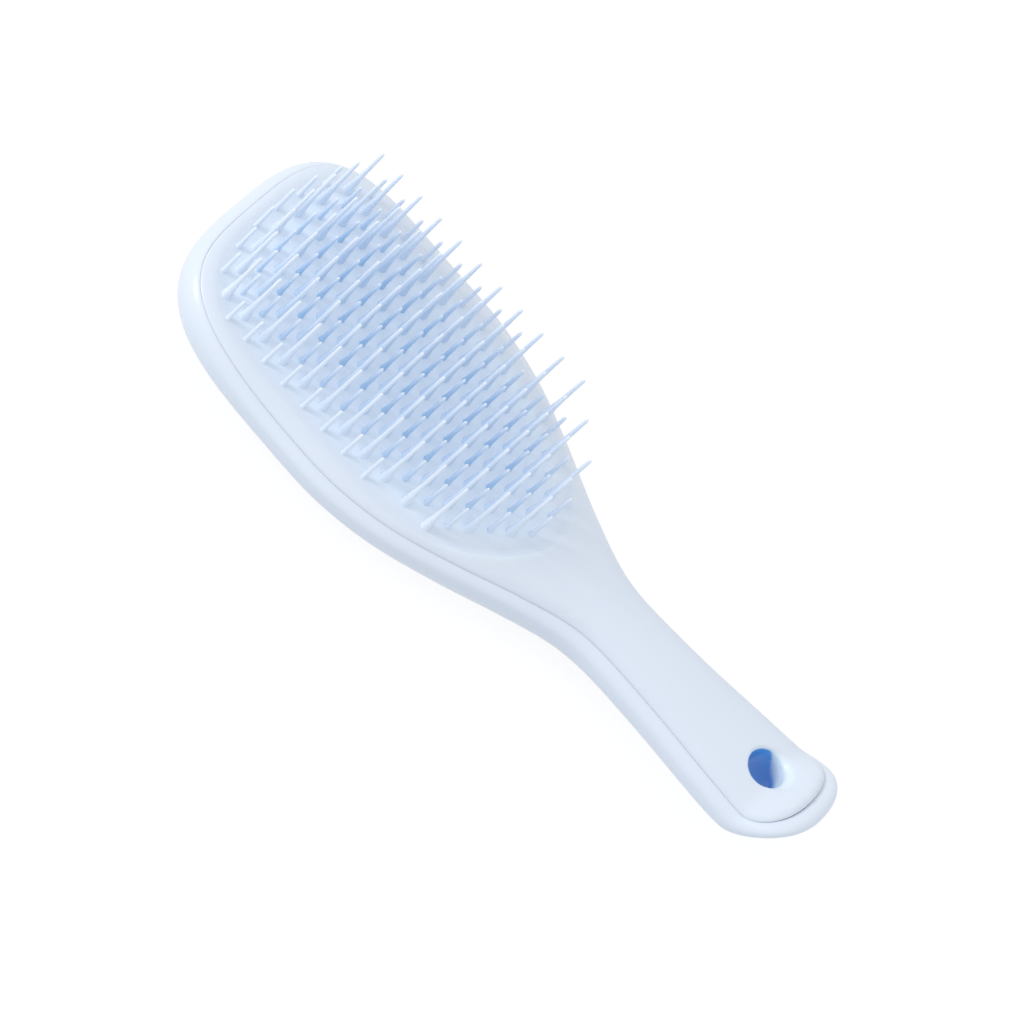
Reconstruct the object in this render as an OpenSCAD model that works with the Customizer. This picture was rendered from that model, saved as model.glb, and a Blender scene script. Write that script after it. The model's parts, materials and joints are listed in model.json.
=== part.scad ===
// Detangling brush with a short handle: a hollow back shell, a domed front panel
// and a plate of moulded teeth in two heights. X runs from the head to the handle,
// Y across, Z along the teeth. The brush lies on its back.

/* [Body] */
// Whole length, head end to handle end
brush_l = 172; // [160:1:190]
// Greatest width, at the head
head_w = 64.3; // [60:0.1:68]
// Place of the narrowest part of the neck, from the head end
neck_x = 114; // [110:1:118]
// Length of the rounded head end
head_round_l = 37.8; // [34:0.2:42]
// Length of the rounded handle end
handle_round_l = 14.2; // [11:0.2:16]
// How far both ends rise above the middle, as the radius of the long curve
sweep_r = 1500; // [1200:50:2500]
// Place of the lowest point of the long curve, from the head end
sweep_x = 86.4; // [70:0.2:95]
// How far the tip of the handle curls up towards the face
tip_rise = 7.2; // [5:0.1:8]
// Length of that curl
tip_rise_l = 13.2; // [12:0.2:14]
// Depth of the back below the widest line, at the head
belly_head = 12.5; // [11:0.5:15]
// Depth of the back below the widest line, at the handle
belly_handle = 8; // [7.5:0.1:10]
// Height of the face above the widest line, at the head
crown_head = 6.6; // [6.4:0.1:8]
// Height of the face above the widest line, at the handle
crown_handle = 6.2; // [5.8:0.1:7]
// How far the belly draws in at the head end
belly_head_l = 29.5; // [28:0.5:36]
// How far the belly draws in at the handle end
belly_handle_l = 57; // [50:1:65]

/* [Seam] */
// Height of the seam above the widest line, along the head
seam_h = 2.1; // [1.8:0.1:2.6]
// The same along the handle
seam_h_handle = 2.8; // [2.4:0.1:3.2]
// How much higher the seam runs round the head end
seam_rise = 2.1; // [1.4:0.1:2.2]
// Length over which it climbs there
seam_rise_l = 35; // [30:1:40]
// Where that climb is done, from the head end
seam_rise_x = 5; // [2:1:8]
// How far the seam lies inside the widest line, along the sides
seam_side = 2.2; // [1.8:0.1:2.4]
// The same at the head end
seam_head = 2.5; // [2:0.1:3]
// Length of the face's rounded end on the handle
face_tail_l = 8; // [7:0.2:10]
// The same at the handle end
seam_handle = 4; // [3.4:0.1:4.4]
// Width of the open groove at the seam
seam_gap = 0.3; // [0.2:0.05:0.4]

/* [Walls] */
// Wall of the back shell
shell_wall = 1.5; // [1.3:0.1:1.6]
// Wall of the front panel
panel_wall = 1.8; // [1.5:0.1:2]

/* [Tooth field] */
// Width of the face left on each side of the tooth field
field_border = 5.8; // [5.7:0.1:6.1]
// Face left in front of the field, at the head end
field_start = 4.6; // [4.5:0.1:4.8]
// Length of the rounded head end of the field
field_round_l = 25.4; // [24.4:0.2:26.4]
// End of the field on the neck, from the head end
field_end = 94.4; // [90:0.2:100]
// Length over which the field narrows on the neck
field_neck_l = 36.4; // [30:0.2:42]
// Depth of the field below the face
field_depth = 0.8; // [0.5:0.1:1]
// Thickness of the tooth plate's rim, which is trapped under the panel
rim_t = 1.4; // [1.1:0.1:1.6]
// Width of that rim, along the sides and round the neck
rim_w = 0.9; // [0.7:0.1:1]

/* [Teeth] */
// Height of a long tooth at the middle of the field
long_h = 17.7; // [14:0.1:21]
// Height of a short tooth at the middle of the field
short_h = 9; // [7:0.1:11]
// Radius of a long tooth at its flared root
long_root_r = 1.25; // [1:0.05:1.4]
// Height of the flare of a long tooth
long_flare_h = 6.5; // [4:0.5:9]
// Radius of a short tooth at its root
short_root_r = 0.85; // [0.7:0.05:1]
// Height of the flare of a short tooth
short_flare_h = 2; // [1:0.1:3]
// Radius of a tooth above its flare
tooth_r = 0.62; // [0.5:0.02:0.75]
// Radius of a tooth near its tip
tip_r = 0.46; // [0.35:0.01:0.5]
// Height of the rounded tip
tip_h = 0.4; // [0.2:0.05:0.6]
// How much lower the tips stand at the sides of the field
tip_drop = 1.7; // [1:0.1:2.5]
// From the outer rows to the side of the field
side_gap = 2.4; // [2.2:0.1:2.8]
// From the first column to the head end of the field
first_gap = 1.5; // [1.4:0.1:2.5]
// From the last column to the neck end of the field
last_gap = 4.6; // [3.6:0.1:6]
// How far the first column bows at its ends, round the head
bow = 5.4; // [5.2:0.1:6]
// Length over which the bow dies away along the head
bow_fade = 24; // [22:1:32]

/* [Hanging hole] */
// Radius of the hanging hole
hole_r = 4.4; // [3.5:0.1:5]
// Place of the hole's centre, from the handle end
hole_x = 15; // [14.6:0.2:18]
// Wall of the sleeve round the hole
sleeve_wall = 1.6; // [1.2:0.1:2]
// Depth of the collar under the panel that meets the sleeve
collar_h = 1.6; // [1:0.1:2]
// Height of the rounded lip at the face
lip_h = 1; // [0.6:0.1:1.4]

/* [Pins] */
// Radius of the locating pins
pin_r = 1.5; // [1.2:0.1:1.8]
// Length of a pin inside its socket
pin_grip = 3; // [2:0.5:4]
// Clearance of a pin in its socket, and of the plate in the panel
fit_gap = 0.15; // [0.1:0.05:0.2]
// Wall round a pin's socket
socket_wall = 1.3; // [1:0.1:1.6]
// Clear height between a boss and what its pin stands on
pin_stand = 0.6; // [0.5:0.1:1.2]

/* [Hidden] */

// Half-widths before the ends are rounded: each place is a share of the way from the
// head end to the neck, or from the neck to the handle end, with a share of the
// head's half-width.
head_width_shares = [[0, 0.978], [0.446, 1], [0.579, 0.923], [0.72, 0.725], [0.86, 0.489], [1, 0.333]];
handle_width_shares = [[0.309, 0.343], [0.57, 0.385], [0.792, 0.418], [1, 0.452]];
// Where the head turns into the handle, as shares of the same two stretches
neck_shares = [0.739, 0.2];
// Roundness of the head end, the face's head end, the handle end, the field's two ends
// and the belly
head_round_power = 3.3;
face_round_power = 3.6;
handle_round_power = 2.2;
field_head_power = 3;
field_neck_power = 1.8;
belly_power = 2.37;
// Slope of the shell's side at the seam and of the back at its keel, in degrees
rim_arc = 53;
belly_end = 86;
// Teeth in each column from the head to the neck, as they stand
short_counts = [6, 8, 8, 8, 8, 8, 8, 8, 8, 6, 6, 6, 4, 2];
long_counts = [7, 7, 7, 7, 7, 7, 7, 7, 7, 7, 7, 5, 3];
// Pins under the tooth plate, as shares of the field's length and half-width
plate_pin_shares = [[0.3, 0.55], [0.3, -0.55], [0.74, 0]];
// Pins under the panel's handle, as shares of the way from the neck to the sleeve
panel_pin_shares = [0, 0.7];
// Steps of the surfaces: round each end, along the sides, down the belly, over the face
end_steps = 10;
side_steps = 18;
belly_steps = 8;
rim_steps = 2;
face_steps = 8;
field_side_steps = 4;
lip_steps = 4;
tooth_sides = 4;
// Where the rings nearest a ridge lie: degrees on the face's dome, shares on the plate
face_from = 4;
plate_shares = [0.08, 0.4, 0.7, 0.9, 1];
// Overrun of cuts, and how deep a joined piece is let into its neighbour
over = 1;
root = 0.7;
bore_fn = 48;

head_half = head_w / 2;
field_half = head_half - field_border;
hole_at = brush_l - hole_x;
// Clear space between curved faces that lie over each other
layer_gap = 2 * fit_gap;

function smooth(t) = let (c = min(max(t, 0), 1)) c * c * (3 - 2 * c);

// Interpolates a table of [place, value] rows without overshoot
function slope_at(rows, i) =
    i == 0 || i == len(rows) - 1 ? 0 :
    let (
        before = (rows[i][1] - rows[i - 1][1]) / (rows[i][0] - rows[i - 1][0]),
        after = (rows[i + 1][1] - rows[i][1]) / (rows[i + 1][0] - rows[i][0])
    ) before * after <= 0 ? 0 : 2 * before * after / (before + after);
function row_below(rows, s, i = 0) = i >= len(rows) - 2 || s < rows[i + 1][0] ? i : row_below(rows, s, i + 1);
function along(rows, s) =
    let (
        i = row_below(rows, s),
        span = rows[i + 1][0] - rows[i][0],
        t = min(max((s - rows[i][0]) / span, 0), 1),
        rise = rows[i + 1][1] - rows[i][1]
    ) rows[i][1] + rise * smooth(t)
      + span * (slope_at(rows, i) * t * (1 - t) * (1 - t) - slope_at(rows, i + 1) * t * t * (1 - t));

// Half-width of the body at x, before the ends are rounded
handle_l = brush_l - neck_x;
half_widths = concat(
    [for (s = head_width_shares) [s[0] * neck_x, s[1] * head_half]],
    [for (s = handle_width_shares) [neck_x + s[0] * handle_l, s[1] * head_half]]
);
function body_half(x) = along(half_widths, x);
// Share of the way from the head's sections to the handle's
neck_from = neck_shares[0] * neck_x;
neck_to = neck_x + neck_shares[1] * handle_l;
function neck_mix(x) = smooth((x - neck_from) / (neck_to - neck_from));
function sweep(x) = (x - sweep_x) * (x - sweep_x) / (2 * sweep_r)
    + tip_rise * smooth((x - brush_l + tip_rise_l) / tip_rise_l);
function crown(x) = crown_head + (crown_handle - crown_head) * neck_mix(x);
function belly(x) = belly_head + (belly_handle - belly_head) * neck_mix(x);
// Height of the seam, and of the face's edge over its groove, above the widest line
function seam_z(x) = seam_h + (seam_h_handle - seam_h) * neck_mix(x)
    + seam_rise * smooth((seam_rise_x + seam_rise_l - x) / seam_rise_l);
function edge_h(x) = seam_z(x) + seam_gap;

// A closed outline in plan: x from start to end, both ends rounded, with a half-width
// that is a share of the body's less an inset. It runs out along one side and back.
function cap_x(t, power) = 1 - pow(cos(t), 2 / power);
function cap_y(t, power) = pow(sin(t), 2 / power);
function half_outline(start, end, round_a, round_b, share, inset, power_a = head_round_power) =
    let (
        head = [for (i = [0 : end_steps]) let (t = 90 * i / end_steps)
            [start + round_a * cap_x(t, power_a), cap_y(t, power_a)]],
        side = [for (i = [1 : side_steps - 1])
            [start + round_a + (end - round_b - start - round_a) * i / side_steps, 1]],
        tail = [for (i = [end_steps : -1 : 0]) let (t = 90 * i / end_steps)
            [end - round_b * cap_x(t, handle_round_power), cap_y(t, handle_round_power)]]
    ) [for (p = concat(head, side, tail)) [p[0], share * (body_half(p[0]) - inset) * p[1]]];
function closed(half) =
    concat([for (p = half) [p[0], -p[1]]], [for (i = [len(half) - 2 : -1 : 1]) half[i]]);

// The belly's outline in plan, from the widest line (0) to the keel (1)
function belly_share(level) = pow(cos(belly_end * level), 2 / belly_power);
function belly_down(level) = pow(sin(belly_end * level), 2 / belly_power);
function belly_outline(level, wall) =
    let (share = belly_share(level), in = 1 - share)
        half_outline(
            wall + (belly_head_l - wall) * in, brush_l - wall - (belly_handle_l - wall) * in,
            head_round_l * share + belly_head_l * in * in, handle_round_l, share, wall
        );

// Height of the widest line: the lowest point of the back is at zero
widest_z = max([for (p = belly_outline(1, 0)) belly(p[0]) * belly_down(1) - sweep(p[0])]);
function datum(x) = widest_z + sweep(x);

// The belly's ring, and the ring of the shell's side from the seam (1) to the widest line (0)
function belly_ring(level, wall) =
    [for (p = closed(belly_outline(level, wall)))
        [p[0], p[1], datum(p[0]) - belly_down(level) * (belly(p[0]) - wall)]];
function side_ring(level, wall) =
    let (
        t = rim_arc * level,
        in = (1 - cos(t)) / (1 - cos(rim_arc)),
        up = sin(t) / sin(rim_arc),
        power_a = head_round_power + (face_round_power - head_round_power) * in
    ) [for (p = closed(half_outline(
        seam_head * in + wall, brush_l - seam_handle * in - wall, head_round_l - seam_head * in,
        handle_round_l + (face_tail_l - handle_round_l) * in, 1, seam_side * in + wall, power_a
    ))) [p[0], p[1], datum(p[0]) + seam_z(p[0]) * up]];

// The dome of the face over the seam's outline, from the edge (1) to the ridge (0)
face_start = seam_head;
face_end = brush_l - seam_handle;
face_round = head_round_l - seam_head;
function face_angle(i) = face_from + (90 - face_from) * i / face_steps;
function dome_rise(share) = sqrt(max(1 - share * share, 0));
function dome_ring(angle, wall) =
    let (
        share = sin(angle),
        round_a = (face_round - wall) * share,
        round_b = (face_tail_l - wall) * share
    ) [for (p = closed(half_outline(
        face_start + face_round - round_a, face_end - face_tail_l + round_b,
        round_a, round_b, share, seam_side + wall, face_round_power
    ))) [p[0], p[1], datum(p[0]) + edge_h(p[0]) + cos(angle) * (crown(p[0]) - edge_h(p[0]) - wall)]];

// The same dome as a height at any place on the face
function face_share(x, y) =
    let (
        a = face_start + face_round,
        b = face_end - face_tail_l,
        side = abs(y) / (body_half(x) - seam_side),
        power = x < a ? face_round_power : handle_round_power,
        out = x < a ? (a - x) / face_round : x > b ? (x - b) / face_tail_l : 0
    ) pow(pow(out, power) + pow(side, power), 1 / power);
function face_z(x, y) = datum(x) + edge_h(x) + (crown(x) - edge_h(x)) * dome_rise(min(face_share(x, y), 1));

// Joins rings of equal length into a closed solid. The rings run from the middle of the
// underside out to the edge and back over the top, and a strip closes each end.
module rings_solid(rings) {
    n = len(rings[0]);
    m = len(rings);
    half = n / 2;
    walls = [for (j = [0 : m - 2], i = [0 : n - 1]) let (
        a = j * n + i, b = j * n + (i + 1) % n, c = b + n, d = a + n
    ) each [[a, c, b], [a, d, c]]];
    function strip(at, turn) = [for (i = [0 : half - 1]) let (
        a = at + i, b = at + i + 1, c = at + (n - i - 1) % n, d = at + (n - i) % n
    ) each (i == 0 ? [turn ? [a, c, b] : [a, b, c]]
          : i == half - 1 ? [turn ? [a, d, b] : [a, b, d]]
          : [turn ? [a, d, b] : [a, b, d], turn ? [b, d, c] : [b, c, d]])];
    polyhedron(
        points = [for (r = rings) each r],
        faces = concat(walls, strip(0, false), strip((m - 1) * n, true)),
        convexity = 10
    );
}

// The outline of the tooth field, drawn in by an inset, let out by a rim behind its
// rounded head end, and drawn towards its ridge by a share
field_a = field_start + field_round_l;
field_b = field_end - field_neck_l;
function field_outline(inset, rim = 0, share = 1) =
    let (
        head_l = (field_round_l - inset) * share,
        neck_l = (field_neck_l - inset + rim) * share,
        head = [for (i = [0 : end_steps]) let (t = 90 * i / end_steps)
            [field_a - head_l * (1 - cap_x(t, field_head_power)), cap_y(t, field_head_power)]],
        side = [for (i = [1 : field_side_steps - 1])
            [field_a + (field_b - field_a) * i / field_side_steps, 1]],
        neck = [for (i = [end_steps : -1 : 0]) let (t = 90 * i / end_steps)
            [field_b + neck_l * (1 - cap_x(t, field_neck_power)), cap_y(t, field_neck_power)]]
    ) closed([for (p = concat(head, side, neck))
        [p[0], share * p[1] * (field_half - inset + rim * smooth((p[0] - field_start) / field_round_l))]]);
// The same as a ring that follows the face at a depth below it
function field_ring(inset, rim, depth, share = 1) =
    [for (p = field_outline(inset, rim, share)) [p[0], p[1], face_z(p[0], p[1]) - depth]];

// Depths below the face: the panel's underside, and the top and bottom of the plate's rim
rim_top = panel_wall + layer_gap;
rim_under = rim_top + rim_t;

// Places that the pins stand on, and the tops of their bosses
plate_pins = [for (s = plate_pin_shares)
    let (x = field_start + s[0] * (field_end - field_start), y = s[1] * field_half)
        [x, y, face_z(x, y) - rim_under]];
socket_r = pin_r + fit_gap;
boss_r = socket_r + socket_wall;
collar_r = hole_r + sleeve_wall;
pins_l = hole_at - collar_r - boss_r - neck_x;
panel_pins = [for (s = panel_pin_shares)
    let (x = neck_x + s * pins_l) [x, 0, face_z(x, 0) - panel_wall]];

// The hanging hole: the panel's collar stands on the shell's sleeve
hole_face = face_z(hole_at, 0);
collar_z = hole_face - panel_wall - collar_h;

// Tooth places: columns across the brush, long and short in turn, each row halfway
// between the rows of the next column. The first columns bow round the head.
row_pitch = 2 * (field_half - side_gap) / (max(short_counts) - 1);
column_pitch = (field_end - field_start - first_gap - last_gap) / (len(short_counts) - 1);
first_x = field_start + first_gap;
outer_y = field_half - side_gap;
function bowed(x, y) = x + bow * exp((first_x - x) / bow_fade) * pow(y / outer_y, 2);
function places(counts, shift) = [for (i = [0 : len(counts) - 1], j = [0 : counts[i] - 1])
    let (x = first_x + (i + shift) * column_pitch, y = (j - (counts[i] - 1) / 2) * row_pitch)
        [bowed(x, y), y]];
function tip_z(x, y, high) = face_z(x, 0) - field_depth + high - tip_drop * pow(y / outer_y, 2);

module along_z(x, y, low, high, r) {
    translate([x, y, low]) cylinder(r = r, h = high - low, $fn = bore_fn);
}

// The shell's outer skin from the keel to the seam, and its inner skin back again
shell_outer = concat(
    [for (i = [belly_steps : -1 : 1]) belly_ring(i / belly_steps, 0)],
    [for (i = [0 : rim_steps]) side_ring(i / rim_steps, 0)]
);
shell_inner = concat(
    [for (i = [rim_steps : -1 : 0]) side_ring(i / rim_steps, shell_wall)],
    [for (i = [1 : belly_steps]) belly_ring(i / belly_steps, shell_wall)]
);

module back_shell() {
    color("#c9d3ee")
    translate([-brush_l / 2, 0, 0])
    difference() {
        union() {
            rings_solid(concat(shell_outer, shell_inner));
            intersection() {
                rings_solid(shell_outer);
                union() {
                    for (p = concat(plate_pins, panel_pins)) along_z(p[0], p[1], 0, p[2] - pin_stand, boss_r);
                    along_z(hole_at, 0, 0, collar_z - layer_gap, collar_r);
                }
            }
        }
        for (p = concat(plate_pins, panel_pins))
            along_z(p[0], p[1], p[2] - pin_stand - pin_grip - layer_gap, p[2] + over, socket_r);
        along_z(hole_at, 0, -over, collar_z + over, hole_r);
    }
}

module front_panel() {
    color("#d6def3")
    translate([-brush_l / 2, 0, 0])
    difference() {
        union() {
            rings_solid(concat(
                [for (i = [0 : face_steps]) dome_ring(face_angle(i), panel_wall)],
                [for (i = [face_steps : -1 : 0]) dome_ring(face_angle(i), 0)]
            ));
            intersection() {
                along_z(hole_at, 0, collar_z, hole_face + tip_rise, collar_r);
                rings_solid(concat(
                    [for (i = [0 : face_steps]) [for (p = dome_ring(face_angle(i), panel_wall / 2))
                        [p[0], p[1], p[2] - tip_rise]]],
                    [for (i = [face_steps : -1 : 0]) dome_ring(face_angle(i), panel_wall / 2)]
                ));
            }
            for (p = panel_pins) along_z(p[0], p[1], p[2] - pin_stand - pin_grip, p[2] + root, pin_r);
        }
        linear_extrude(height = 2 * widest_z + long_h) polygon(field_outline(0));
        along_z(hole_at, 0, 0, hole_face + tip_rise, hole_r);
        hole_lip();
    }
}

// What is cut for a rounded lip where the hole meets the face, which slopes there
function lip_ring(r, height) = [for (i = [0 : bore_fn - 1])
    let (t = 360 * i / bore_fn, x = hole_at + r * cos(t), y = r * sin(t)) [x, y, face_z(x, y) + height]];
module hole_lip() {
    rings_solid(concat(
        [lip_ring(hole_r - root, -lip_h)],
        [for (i = [1 : lip_steps]) let (t = 90 * i / lip_steps)
            lip_ring(hole_r + lip_h * (1 - cos(t)), lip_h * (sin(t) - 1))],
        [lip_ring(hole_r + lip_h, over)]
    ));
}

// A tooth: its levels are [height, radius] from the root to the tip, with four sides
module tooth(x, y, levels) {
    n = tooth_sides;
    m = len(levels);
    points = [for (l = levels, i = [0 : n - 1]) let (t = (i + 1 / 2) * 360 / n)
        [x + l[1] * cos(t), y + l[1] * sin(t), l[0]]];
    sides = [for (j = [0 : m - 2], i = [0 : n - 1]) let (
        a = j * n + i, b = j * n + (i + 1) % n, c = b + n, d = a + n
    ) each [[a, c, b], [a, d, c]]];
    top = (m - 1) * n;
    polyhedron(
        points = points,
        faces = concat(sides, [[0, 1, 2], [0, 2, 3], [top, top + 2, top + 1], [top, top + 3, top + 2]]),
        convexity = 4
    );
}

module long_tooth(x, y) {
    low = face_z(x, y) - field_depth;
    high = tip_z(x, y, long_h);
    tooth(x, y, [
        [low - root, long_root_r], [low + long_flare_h / 3, (long_root_r + tooth_r) / 2],
        [low + long_flare_h, tooth_r], [high - tip_h, tip_r], [high, tip_r / 2]
    ]);
}

module short_tooth(x, y) {
    low = face_z(x, y) - field_depth;
    high = tip_z(x, y, short_h);
    tooth(x, y, [
        [low - root, short_root_r], [low + short_flare_h, tooth_r], [high - tip_h, tip_r], [high, tip_r / 2]
    ]);
}

module tooth_plate() {
    color("#a9bfe6")
    translate([-brush_l / 2, 0, 0])
    union() {
        rings_solid(concat(
            [for (s = plate_shares) field_ring(0, rim_w, rim_under, s)],
            [field_ring(0, rim_w, rim_top), field_ring(fit_gap, 0, rim_top)],
            [for (i = [len(plate_shares) - 1 : -1 : 0]) field_ring(fit_gap, 0, field_depth, plate_shares[i])]
        ));
        for (p = plate_pins) along_z(p[0], p[1], p[2] - pin_stand - pin_grip, p[2] + root, pin_r);
        for (p = places(long_counts, 1 / 2)) long_tooth(p[0], p[1]);
        for (p = places(short_counts, 0)) short_tooth(p[0], p[1]);
    }
}

back_shell();
front_panel();
tooth_plate();
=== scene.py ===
# %% [markdown]
# A detangling brush with a short handle, dressed for its portrait. It is built as three
# mouldings in one pale lilac blue plastic: a hollow back, a domed face, and a plate of
# springy teeth that shows through a window in the face. The engineering model gives the
# places and sizes, and this file gives the smooth skins, the teeth and the finish.

# %% Load the frame and take the brush's sizes from it
import functools
import json
import math

import bmesh
import bpy
import numpy as np
from mathutils import Matrix, Vector, geometry, kdtree


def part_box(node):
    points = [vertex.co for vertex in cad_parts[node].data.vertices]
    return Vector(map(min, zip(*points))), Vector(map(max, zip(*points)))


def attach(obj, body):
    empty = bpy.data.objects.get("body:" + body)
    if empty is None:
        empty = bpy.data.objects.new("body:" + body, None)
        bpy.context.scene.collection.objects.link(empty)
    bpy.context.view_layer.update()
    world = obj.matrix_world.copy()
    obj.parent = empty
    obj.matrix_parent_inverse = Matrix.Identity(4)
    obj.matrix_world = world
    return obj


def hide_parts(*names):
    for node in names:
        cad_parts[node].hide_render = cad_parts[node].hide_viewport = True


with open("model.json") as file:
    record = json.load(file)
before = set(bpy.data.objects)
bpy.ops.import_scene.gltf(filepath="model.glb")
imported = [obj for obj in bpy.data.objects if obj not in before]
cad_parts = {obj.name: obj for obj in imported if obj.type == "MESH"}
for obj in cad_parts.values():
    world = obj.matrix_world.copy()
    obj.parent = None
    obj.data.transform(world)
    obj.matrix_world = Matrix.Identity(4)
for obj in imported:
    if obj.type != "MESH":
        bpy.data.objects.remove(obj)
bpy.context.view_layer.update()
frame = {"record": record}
MM = 0.001

shell_low, shell_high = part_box("back_shell")
panel_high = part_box("front_panel")[1]
plate_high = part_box("tooth_plate")[1]
hang_hole = frame["record"]["mounts"][0]

BRUSH_L = (shell_high[0] - shell_low[0]) / MM
HEAD_HALF = (shell_high[1] - shell_low[1]) / 2 / MM
HOLE_X = hang_hole["pos_m"][0] / MM + BRUSH_L / 2
HOLE_R = hang_hole["dims"]["r_mm"]
print(f"brush {BRUSH_L:.1f} mm long, {2 * HEAD_HALF:.1f} mm wide, hole {2 * HOLE_R:.1f} mm")
print(f"face up to {panel_high[2] / MM:.1f} mm, teeth up to {plate_high[2] / MM:.1f} mm")

# %% [markdown]
# Lengths below are millimetres from the head's end, as a maker would dimension the brush.
# The plan is a row of half-widths joined by a curve that never overshoots, with both ends
# rounded like a superellipse, which is squarer than a circle and softer than a corner.

# %% Sizes of the body
NECK_X = 114.0
HANDLE_L = BRUSH_L - NECK_X
# Rows of place and half-width, as shares of the stretch's length and of the head's half-width
HEAD_WIDTHS = ((0, 0.978), (0.446, 1), (0.579, 0.923), (0.72, 0.725), (0.86, 0.486), (1, 0.325))
HANDLE_WIDTHS = ((0.309, 0.343), (0.57, 0.385), (0.792, 0.418), (1, 0.452))
NECK_MIX = (0.739 * NECK_X, NECK_X + 0.2 * HANDLE_L)
HEAD_ROUND, HANDLE_ROUND = 37.8, 14.2
HEAD_POWER, HANDLE_POWER, BELLY_POWER = 3.3, 2.2, 2.37
SWEEP_R, SWEEP_X = 1500.0, 86.4
TIP_RISE, TIP_RISE_L = 7.2, 13.2
BELLY_HEAD, BELLY_HANDLE = 12.5, 8.0
BELLY_HEAD_L, BELLY_HANDLE_L = 29.5, 57.0
CROWN_HEAD, CROWN_HANDLE = 6.6, 6.2
RIM_ARC, BELLY_END = math.radians(53), math.radians(86)
SHELL_WALL, PANEL_WALL = 1.5, 1.8
print(f"handle {HANDLE_L:.1f} mm long, its tip raised {TIP_RISE} mm")

# %% [markdown]
# The seam between back and face runs a little above the widest line. It climbs round the
# head's end, and it lies further in at both ends, where the back's rim is broader.

# %% Sizes of the seam
SEAM_HEAD_H, SEAM_HANDLE_H = 2.1, 2.8
SEAM_RISE, SEAM_RISE_L, SEAM_RISE_X = 2.1, 35.0, 5.0
SEAM_SIDE, SEAM_HEAD, SEAM_HANDLE = 2.2, 2.5, 4.0
SEAM_GAP = 0.12
FACE_ROUND, FACE_TAIL, FACE_POWER = HEAD_ROUND - SEAM_HEAD, 8.0, 3.6
print(f"seam {SEAM_HEAD_H} to {SEAM_HANDLE_H} mm above the widest line")

# %% [markdown]
# A moulding has no sudden bend, so each half-width is an average over a short stretch of the
# curve. The sweep, the crown and the belly are soft steps from the head's value to the
# handle's. They could be sculpted, but as plain functions of x they give every skin and
# every tooth the same answer, so nothing drifts apart.


# %% Curves that give the body its width, sweep and depth
def smooth(t):
    """0 to 1 with a soft start and end."""
    c = min(max(t, 0.0), 1.0)
    return c * c * (3 - 2 * c)


def along(rows, s):
    """A curve through (place, value) rows that never overshoots them."""
    def slope(i):
        if i in (0, len(rows) - 1):
            return 0.0
        before = (rows[i][1] - rows[i - 1][1]) / (rows[i][0] - rows[i - 1][0])
        after = (rows[i + 1][1] - rows[i][1]) / (rows[i + 1][0] - rows[i][0])
        return 0.0 if before * after <= 0 else 2 * before * after / (before + after)

    i = max(k for k in range(len(rows) - 1) if k == 0 or s >= rows[k][0])
    span = rows[i + 1][0] - rows[i][0]
    t = min(max((s - rows[i][0]) / span, 0.0), 1.0)
    bend = slope(i) * t * (1 - t) ** 2 - slope(i + 1) * t * t * (1 - t)
    return rows[i][1] + (rows[i + 1][1] - rows[i][1]) * smooth(t) + span * bend


HALF_WIDTHS = [(s * NECK_X, w * HEAD_HALF) for s, w in HEAD_WIDTHS]
HALF_WIDTHS += [(NECK_X + s * HANDLE_L, w * HEAD_HALF) for s, w in HANDLE_WIDTHS]
EASE, EASE_STEPS, EASE_FADE = 8.0, 9, 1.1
ease_at = np.linspace(-EASE, EASE, EASE_STEPS)
ease_share = 1 - np.abs(ease_at) / (EASE * EASE_FADE)
ease_share /= ease_share.sum()


@functools.lru_cache(maxsize=None)
def body_half(x):
    """The half-width, averaged over a short stretch so that its bends are gentle."""
    reach = min(EASE, max(min(x, BRUSH_L - x), 0.0)) / EASE
    return sum(w * along(HALF_WIDTHS, x + d * reach) for w, d in zip(ease_share, ease_at))


def neck_mix(x):
    """0 on the head, 1 on the handle."""
    return smooth((x - NECK_MIX[0]) / (NECK_MIX[1] - NECK_MIX[0]))


def sweep(x):
    """The long curve of the brush, with the tip of the handle curled up."""
    curl = smooth((x - BRUSH_L + TIP_RISE_L) / TIP_RISE_L)
    return (x - SWEEP_X) ** 2 / (2 * SWEEP_R) + TIP_RISE * curl


def crown(x):
    """Height of the face's ridge above the widest line."""
    return CROWN_HEAD + (CROWN_HANDLE - CROWN_HEAD) * neck_mix(x)


def belly(x):
    """Depth of the back's keel below the widest line."""
    return BELLY_HEAD + (BELLY_HANDLE - BELLY_HEAD) * neck_mix(x)


def seam_h(x):
    """Height of the seam above the widest line."""
    climb = smooth((SEAM_RISE_X + SEAM_RISE_L - x) / SEAM_RISE_L)
    return SEAM_HEAD_H + (SEAM_HANDLE_H - SEAM_HEAD_H) * neck_mix(x) + SEAM_RISE * climb


print("half-widths", [round(body_half(x), 1) for x in (20, 60, 90, 114, 140, 165)])

# %% [markdown]
# Every outline runs from the middle of the head's end along the near side to the handle's
# end and back along the far side. Points are spread evenly along each stretch, so a skin
# stretched over a stack of such outlines has even facets and a clean highlight.

# %% Outlines in plan
CAP_STEPS, SIDE_STEPS = 26, 64
ARC_SAMPLES = 721


def rounded(power, count):
    """A quarter of a superellipse from its tip to its side, evenly spaced: (along, across)."""
    t = np.linspace(0, math.pi / 2, ARC_SAMPLES)
    rows = np.stack([1 - np.cos(t) ** (2 / power), np.sin(t) ** (2 / power)], axis=1)
    rows[-1] = (1, 1)
    run = np.concatenate([[0], np.cumsum(np.hypot(*np.diff(rows, axis=0).T))])
    even = np.linspace(0, run[-1], count + 1)
    return np.stack([np.interp(even, run, rows[:, k]) for k in (0, 1)], axis=1)


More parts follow.
